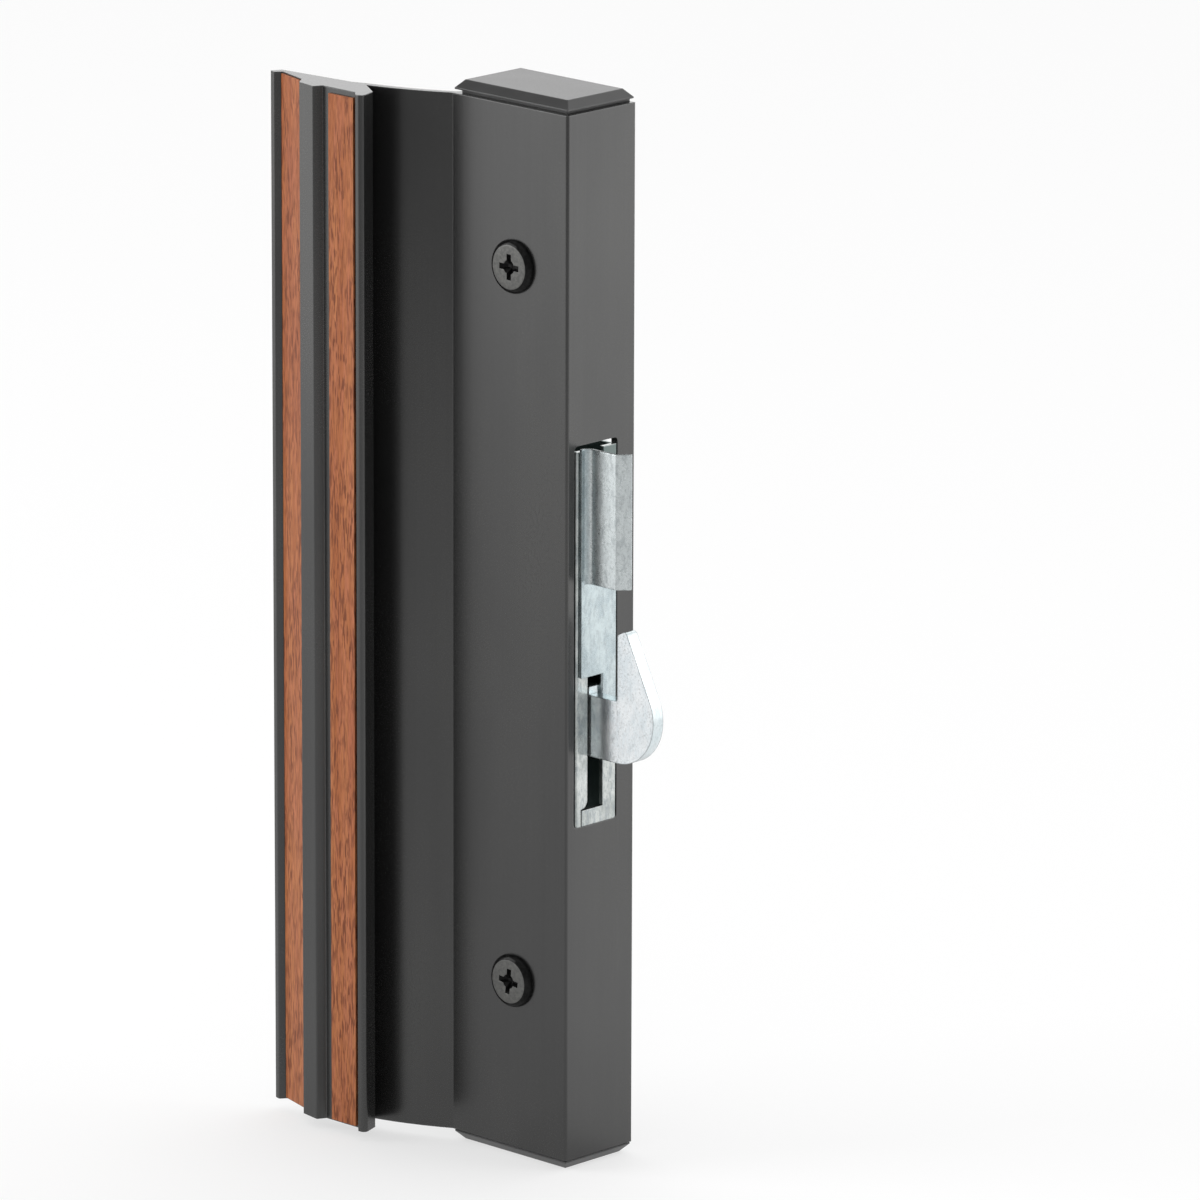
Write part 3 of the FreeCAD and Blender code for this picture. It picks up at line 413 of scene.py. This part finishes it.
# %% Finishes on the solids
anodised = make_anodised()
wood = make_wood()
nylon = make_nylon()
screw_black = make_screw_black()
case_zinc = make_zinc(
    "zinc_plated_case", colour(160, 165, 163), colour(194, 198, 196),
    roughness=0.24, lines=0.4, waves=0.6, blotched=0.6)
slide_zinc = make_zinc(
    "zinc_plated_slide", colour(168, 180, 184), colour(190, 201, 203),
    roughness=0.28, lines=0.5, waves=0.6, blotched=0.35, lit_tone=colour(218, 225, 226))
plate_zinc = make_zinc(
    "zinc_plated_hook", colour(234, 242, 246), colour(248, 252, 254),
    roughness=0.21, lines=0.2, waves=0.4, blotched=0.12, sheared=0.55)
rivet_zinc = make_zinc(
    "zinc_plated_rivet", colour(196, 201, 202), colour(224, 228, 228),
    roughness=0.25, lines=0.0, waves=0.2)
spring_steel = make_zinc(
    "spring_steel", colour(120, 122, 126), colour(160, 162, 166),
    roughness=0.25, lines=0.8, waves=0.1)

FINISHES = {
    "handle_extrusion": anodised,
    "outer_wood_strip": wood,
    "inner_wood_strip": wood,
    "top_end_cap": nylon,
    "bottom_end_cap": nylon,
    "latch_case": case_zinc,
    "latch_slide": slide_zinc,
    "latch_hook": plate_zinc,
    "hook_rivet_upper": rivet_zinc,
    "hook_rivet_lower": rivet_zinc,
    "detent_spring": spring_steel,
    "spring_rivet": rivet_zinc,
}
for name, material in FINISHES.items():
    holder = nodes[name]
    holder.data.materials.clear()
    holder.data.materials.append(material)

# %% [markdown]
# Each screw is turned and rolled from steel: a flat-topped pan head with a rounded rim, a cross
# recess that narrows with depth, a plain shank, and a thread. The head starts as a cylinder
# whose rim is bevelled, and its shank is extruded out of it, with a thinner core that the thread
# closes round. The recess is cut by two tapered bars and a cone. Nothing is selected but the new
# piece, because an operator acts on all that is.

# %% Screw head and shank
SCREW_LOW, SCREW_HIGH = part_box("upper_mounting_screw")
SCREW_Z = (SCREW_LOW[2] + SCREW_HIGH[2]) / 2
HEAD_RADIUS = 0.0047
HEAD_SEAT = -0.0162
RIM_ROUND = 0.00112
SHANK_RADIUS = 0.0021
THREAD_START = -0.0008
CORE_INSET, CORE_DEEP = 0.0006, 0.0012
HEAD_SIDES = 72
NEARLY = 0.9  # a share that counts as the whole, of a normal's length or of a pitch


def only(piece):
    """Selects one object alone and makes it active."""
    bpy.ops.object.select_all(action="DESELECT")
    piece.select_set(True)
    bpy.context.view_layer.objects.active = piece


def settle(piece, name):
    """Puts a new primitive's place, turn and size into its mesh."""
    piece.name = name
    only(piece)
    bpy.ops.object.transform_apply(location=True, rotation=True, scale=True)
    return piece


def pick(piece, kind, wanted):
    """In edit mode, selects only the faces or edges that are wanted."""
    bpy.ops.mesh.select_mode(type=kind)
    bpy.ops.mesh.select_all(action="DESELECT")
    shape = bmesh.from_edit_mesh(piece.data)
    parts = shape.faces if kind == "FACE" else shape.edges
    for part in parts:
        if wanted(part):
            part.select_set(True)
    shape.select_flush_mode()
    bmesh.update_edit_mesh(piece.data)


def rod(name, radius, start, end, sides=HEAD_SIDES):
    """A cylinder along Y at the upper screw's height."""
    bpy.ops.object.select_all(action="DESELECT")
    bpy.ops.mesh.primitive_cylinder_add(
        vertices=sides, radius=radius, depth=end - start,
        location=(0, (start + end) / 2, SCREW_Z), rotation=(math.pi / 2, 0, 0))
    return settle(bpy.context.object, name)


def extruded(distance):
    bpy.ops.mesh.extrude_region_move(TRANSFORM_OT_translate={"value": (0, distance, 0)})


screw = rod("upper_screw_threaded", HEAD_RADIUS, SCREW_LOW[1], HEAD_SEAT)
bpy.ops.object.mode_set(mode="EDIT")
pick(screw, "EDGE", lambda edge: all(v.co.y < SCREW_LOW[1] + SOFT for v in edge.verts))
bpy.ops.mesh.bevel(offset=RIM_ROUND, segments=8, profile=0.5, affect="EDGES")
pick(screw, "FACE", lambda face: face.normal.y > NEARLY
     and face.calc_center_median().y > HEAD_SEAT - SOFT)
bpy.ops.mesh.inset(thickness=HEAD_RADIUS - SHANK_RADIUS)
extruded(THREAD_START - HEAD_SEAT)
bpy.ops.mesh.inset(thickness=CORE_INSET)
extruded(CORE_DEEP)
bpy.ops.object.mode_set(mode="OBJECT")
print("head and shank", len(screw.data.polygons), "faces")

# %% Cross recess
RECESS_WIDE, RECESS_SLOT, RECESS_DEEP = 0.0047, 0.00105, 0.0011
RECESS_TAPER = 0.5
RECESS_CORE, RECESS_TIP = 0.0021, 0.0003
CORE_SIDES = 24


def combine(piece, tool, operation):
    """Cuts, joins or keeps what two closed shapes share, and drops the tool."""
    only(piece)
    step = piece.modifiers.new("step", "BOOLEAN")
    step.operation = operation
    step.solver = "EXACT"
    step.object = tool
    bpy.ops.object.modifier_apply(modifier=step.name)
    bpy.data.objects.remove(tool)


def recess_bar(quarter):
    """One bar of the cross, narrower at its bottom."""
    bpy.ops.object.select_all(action="DESELECT")
    bpy.ops.mesh.primitive_cube_add(
        size=1, location=(0, SCREW_LOW[1] + RECESS_DEEP / 2 - SOFT / 2, SCREW_Z),
        scale=(RECESS_WIDE, RECESS_DEEP + SOFT, RECESS_SLOT), rotation=(0, quarter, 0))
    bar = settle(bpy.context.object, "recess_bar")
    bpy.ops.object.mode_set(mode="EDIT")
    pick(bar, "FACE", lambda face: face.normal.y > NEARLY)
    bpy.ops.transform.resize(value=(RECESS_TAPER, 1, RECESS_TAPER),
                             center_override=(0, SCREW_LOW[1] + RECESS_DEEP, SCREW_Z))
    bpy.ops.object.mode_set(mode="OBJECT")
    return bar


bpy.ops.object.select_all(action="DESELECT")
bpy.ops.mesh.primitive_cone_add(
    vertices=CORE_SIDES, radius1=RECESS_CORE, radius2=RECESS_TIP, depth=2 * RECESS_DEEP,
    location=(0, SCREW_LOW[1] + SOFT, SCREW_Z), rotation=(-math.pi / 2, 0, 0))
combine(screw, settle(bpy.context.object, "recess_core"), "DIFFERENCE")
combine(screw, recess_bar(0.0), "DIFFERENCE")
combine(screw, recess_bar(math.pi / 2), "DIFFERENCE")
print("with recess", len(screw.data.polygons), "faces")

# %% [markdown]
# The thread is one tooth's outline swept in a screw, which is what rolling does to the blank.
# The outline is one pitch long, so each turn meets the last, and the doubles are merged. Both
# ends are bisected flat, and what the tooth shares with a chamfered rod gives the lead-in.

# %% Thread
PITCH = 0.00106
CREST, ROOT = 0.0024, 0.00178
TURNS = 12
STEPS = 28
TOOTH = (  # distance from the axis, and place as a share of the pitch
    (ROOT, 0.0), (ROOT, 0.12), (CREST, 0.44), (CREST, 0.56), (ROOT, 0.88), (ROOT, 1.0))
MERGE = 0.000004
END_CHAMFER, START_CHAMFER = 0.0009, 0.0004
SHARP_FROM = math.radians(32)
THREAD_END = SCREW_HIGH[1]

bpy.ops.object.select_all(action="DESELECT")
bpy.ops.mesh.primitive_circle_add(vertices=len(TOOTH), radius=CREST)
tooth = settle(bpy.context.object, "screw_thread")
bpy.ops.object.mode_set(mode="EDIT")
shape = bmesh.from_edit_mesh(tooth.data)
shape.verts.ensure_lookup_table()
for vertex, (radius, share) in zip(shape.verts, TOOTH):
    vertex.co = (radius, THREAD_START - PITCH + share * PITCH, 0)
bmesh.update_edit_mesh(tooth.data)
pick(tooth, "EDGE", lambda edge: edge.calc_length() > NEARLY * PITCH)
bpy.ops.mesh.delete(type="EDGE")
bpy.ops.object.mode_set(mode="OBJECT")
sweep = tooth.modifiers.new("sweep", "SCREW")
sweep.axis = "Y"
sweep.screw_offset = PITCH
sweep.iterations = TURNS
sweep.steps = sweep.render_steps = STEPS
bpy.ops.object.modifier_apply(modifier=sweep.name)
for vertex in tooth.data.vertices:
    vertex.co.z += SCREW_Z
bpy.ops.object.mode_set(mode="EDIT")
bpy.ops.mesh.select_all(action="SELECT")
bpy.ops.mesh.remove_doubles(threshold=MERGE)
bpy.ops.mesh.bisect(plane_co=(0, THREAD_START, 0), plane_no=(0, 1, 0),
                    use_fill=True, clear_inner=True)
bpy.ops.mesh.select_all(action="SELECT")
bpy.ops.mesh.bisect(plane_co=(0, THREAD_END, 0), plane_no=(0, 1, 0),
                    use_fill=True, clear_outer=True)
bpy.ops.mesh.select_all(action="SELECT")
bpy.ops.mesh.normals_make_consistent(inside=False)
bpy.ops.object.mode_set(mode="OBJECT")

blank = rod("thread_blank", CREST + SOFT, THREAD_START + SOFT, THREAD_END - SOFT)
bpy.ops.object.mode_set(mode="EDIT")
pick(blank, "EDGE", lambda edge: all(v.co.y > THREAD_END - 2 * SOFT for v in edge.verts))
bpy.ops.mesh.bevel(offset=END_CHAMFER, segments=1, affect="EDGES")
pick(blank, "EDGE", lambda edge: all(v.co.y < THREAD_START + 2 * SOFT for v in edge.verts))
bpy.ops.mesh.bevel(offset=START_CHAMFER, segments=1, affect="EDGES")
bpy.ops.object.mode_set(mode="OBJECT")
combine(tooth, blank, "INTERSECT")
combine(screw, tooth, "UNION")
only(screw)
bpy.ops.object.shade_smooth_by_angle(angle=SHARP_FROM)
print("threaded", len(screw.data.polygons), "faces")

# %% [markdown]
# The lower screw is the same piece, copied with a mesh of its own, set as low as its solid and
# turned a few degrees, as no two screws stop at the same angle.

# %% Lower screw
LOWER_TURN = math.radians(6)
LOWER_LOW, LOWER_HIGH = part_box("lower_mounting_screw")
LOWER_Z = (LOWER_LOW[2] + LOWER_HIGH[2]) / 2
only(screw)
bpy.ops.object.duplicate()
lower_screw = bpy.context.object
lower_screw.name = "lower_screw_threaded"
down = Matrix.Translation((0, 0, LOWER_Z)) @ Matrix.Rotation(LOWER_TURN, 4, "Y")
lower_screw.data.transform(down @ Matrix.Translation((0, 0, -SCREW_Z)))
for piece, solid in ((screw, "upper_mounting_screw"), (lower_screw, "lower_mounting_screw")):
    piece.data.materials.clear()
    piece.data.materials.append(screw_black)
    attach(piece, "handle")
    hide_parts(solid)
    lowest = [round(min(v.co[i] for v in piece.data.vertices) * 1000, 2) for i in range(3)]
    highest = [round(max(v.co[i] for v in piece.data.vertices) * 1000, 2) for i in range(3)]
    print(piece.name, lowest, highest, "shares a mesh:", piece.data.users > 1)

# %% [markdown]
# A black satin object shows its shape only by what it reflects, so the room matters more than
# the lamps. The front of the channel mirrors the left of the room and its latch side mirrors
# the right rear, so both get a soft light, and the room straight ahead stays dim. That dim
# part is what turns the web between grip and channel dark. The same function of direction
# gives the room's walls and what the object mirrors in the floor.

# %% Room
ROOM_DIM = 0.32
ROOM_LIGHTS = (  # direction, where its glow starts and is full, strength
    ((-0.80, -0.60, -0.10), 0.86, 0.97, 1.38),
    ((0.60, 0.80, 0.00), 0.50, 0.95, 1.50),
    ((-0.62, 0.75, 0.25), 0.35, 0.95, 1.35),
    ((0.75, -0.65, -0.10), 0.72, 0.98, 0.10),
    ((0.0, 0.0, 1.0), 0.55, 1.00, 0.50),
)


def room_glow(s, ray):
    """How bright the room is in a direction."""
    glow = ROOM_DIM
    for aim, start, full, strength in ROOM_LIGHTS:
        along = s.dot(ray, tuple(Vector(aim).normalized()))
        glow = along.between(start, full) * strength + glow
    return glow


world = bpy.data.worlds.new("studio")
world.use_nodes = True
bpy.context.scene.world = world
s = Shader(world.node_tree)
room = room_glow(s, s.node("ShaderNodeTexCoord", output="Generated"))
camera_ray = s.node("ShaderNodeLightPath", output="Is Camera Ray")
seen = camera_ray * (1.0 - room) + room
background = s.node("ShaderNodeBackground", None, {"Color": seen, "Strength": 1.0})
s.node("ShaderNodeOutputWorld", None, {"Surface": background})

# %% [markdown]
# The stage is one pale floor. What shows round the object is white, as in a catalogue picture,
# but that white is only for the camera: the floor that lights the object is plain matt white,
# and it keeps a soft shadow where the lower cap stands on it. To glossy rays the floor glows
# instead, a painted reflection: a pale table close by, with painted shade next to the object,
# lighter on the window's side and a little darker straight ahead, and the room itself farther off.

# %% Floor
FLOOR_SIZE = 24.0
FLOOR_WHITE = (0.9, 0.9, 0.9, 1.0)
FLOOR_GLOW = 0.62
TABLE_EDGE, ROOM_START = 0.44, 0.82
TABLE_GLOW = 0.84
TABLE_SHADE = 0.78
SHADE_REACH = 0.12
WINDOW_SIDE = (0.65, 0.76, 0.0)
WINDOW_GLOW = 0.48
AHEAD = (0.2, -0.98, 0.0)
AHEAD_SHADE = 0.10

bpy.ops.object.select_all(action="DESELECT")
bpy.ops.mesh.primitive_plane_add(size=FLOOR_SIZE, location=(0, 0, cad_box[0][2]))
floor = bpy.context.object
floor.name = "floor"
material, s = new_finish("floor_white")
matt = s.node("ShaderNodeBsdfDiffuse", None, {"Color": FLOOR_WHITE})
glow = s.node("ShaderNodeEmission", None, {"Color": (1.0, 1.0, 1.0, 1.0), "Strength": 1.0})
seen = s.node("ShaderNodeLightPath", output="Is Camera Ray")
lit = s.node("ShaderNodeMixShader", None, {0: seen * FLOOR_GLOW, 1: matt, 2: glow})
spot = s.place()
away = s.node("ShaderNodeVectorMath", {"operation": "LENGTH"}, {0: spot}, "Value")
outwards = s.node("ShaderNodeVectorMath", {"operation": "NORMALIZE"}, {0: spot})
# Painted reflection: the glow that glossy rays see in the floor, with painted shade next to the
# object.
painted_table = s.dot(outwards, WINDOW_SIDE).between(0.3, 0.95) * WINDOW_GLOW + TABLE_GLOW
painted_table = painted_table * (1.0 - s.dot(outwards, AHEAD).between(0.78, 0.96) * AHEAD_SHADE)
painted_table = painted_table * (away.between(0.0, SHADE_REACH) * (1.0 - TABLE_SHADE) + TABLE_SHADE)
far = away.between(TABLE_EDGE, ROOM_START)
painted_reflection = painted_table * (1.0 - far) + room_glow(s, outwards) * far
reflection_glow = s.node("ShaderNodeEmission", None, {"Color": painted_reflection, "Strength": 1.0})
glossy = s.node("ShaderNodeLightPath", output="Is Glossy Ray")
s.finish(s.node("ShaderNodeMixShader", None, {0: glossy, 1: lit, 2: reflection_glow}))
floor.data.materials.append(material)

# %% [markdown]
# Two soft lights stand on the room's bright sides: a strong one at the front left, and a weak
# one at the right rear.

# %% Lamps
def soft_light(name, place, size, power):
    """A square soft light that faces the object."""
    lamp = bpy.data.lights.new(name, "AREA")
    lamp.size = size
    lamp.energy = power
    holder = bpy.data.objects.new(name, lamp)
    holder.location = place
    holder.rotation_euler = (-Vector(place)).to_track_quat("-Z", "Y").to_euler()
    bpy.context.scene.collection.objects.link(holder)


soft_light("left_softbox", (-0.8, -0.9, 0.5), size=0.7, power=6.0)
soft_light("right_softbox", (1.0, 0.6, 0.6), size=0.6, power=2.5)
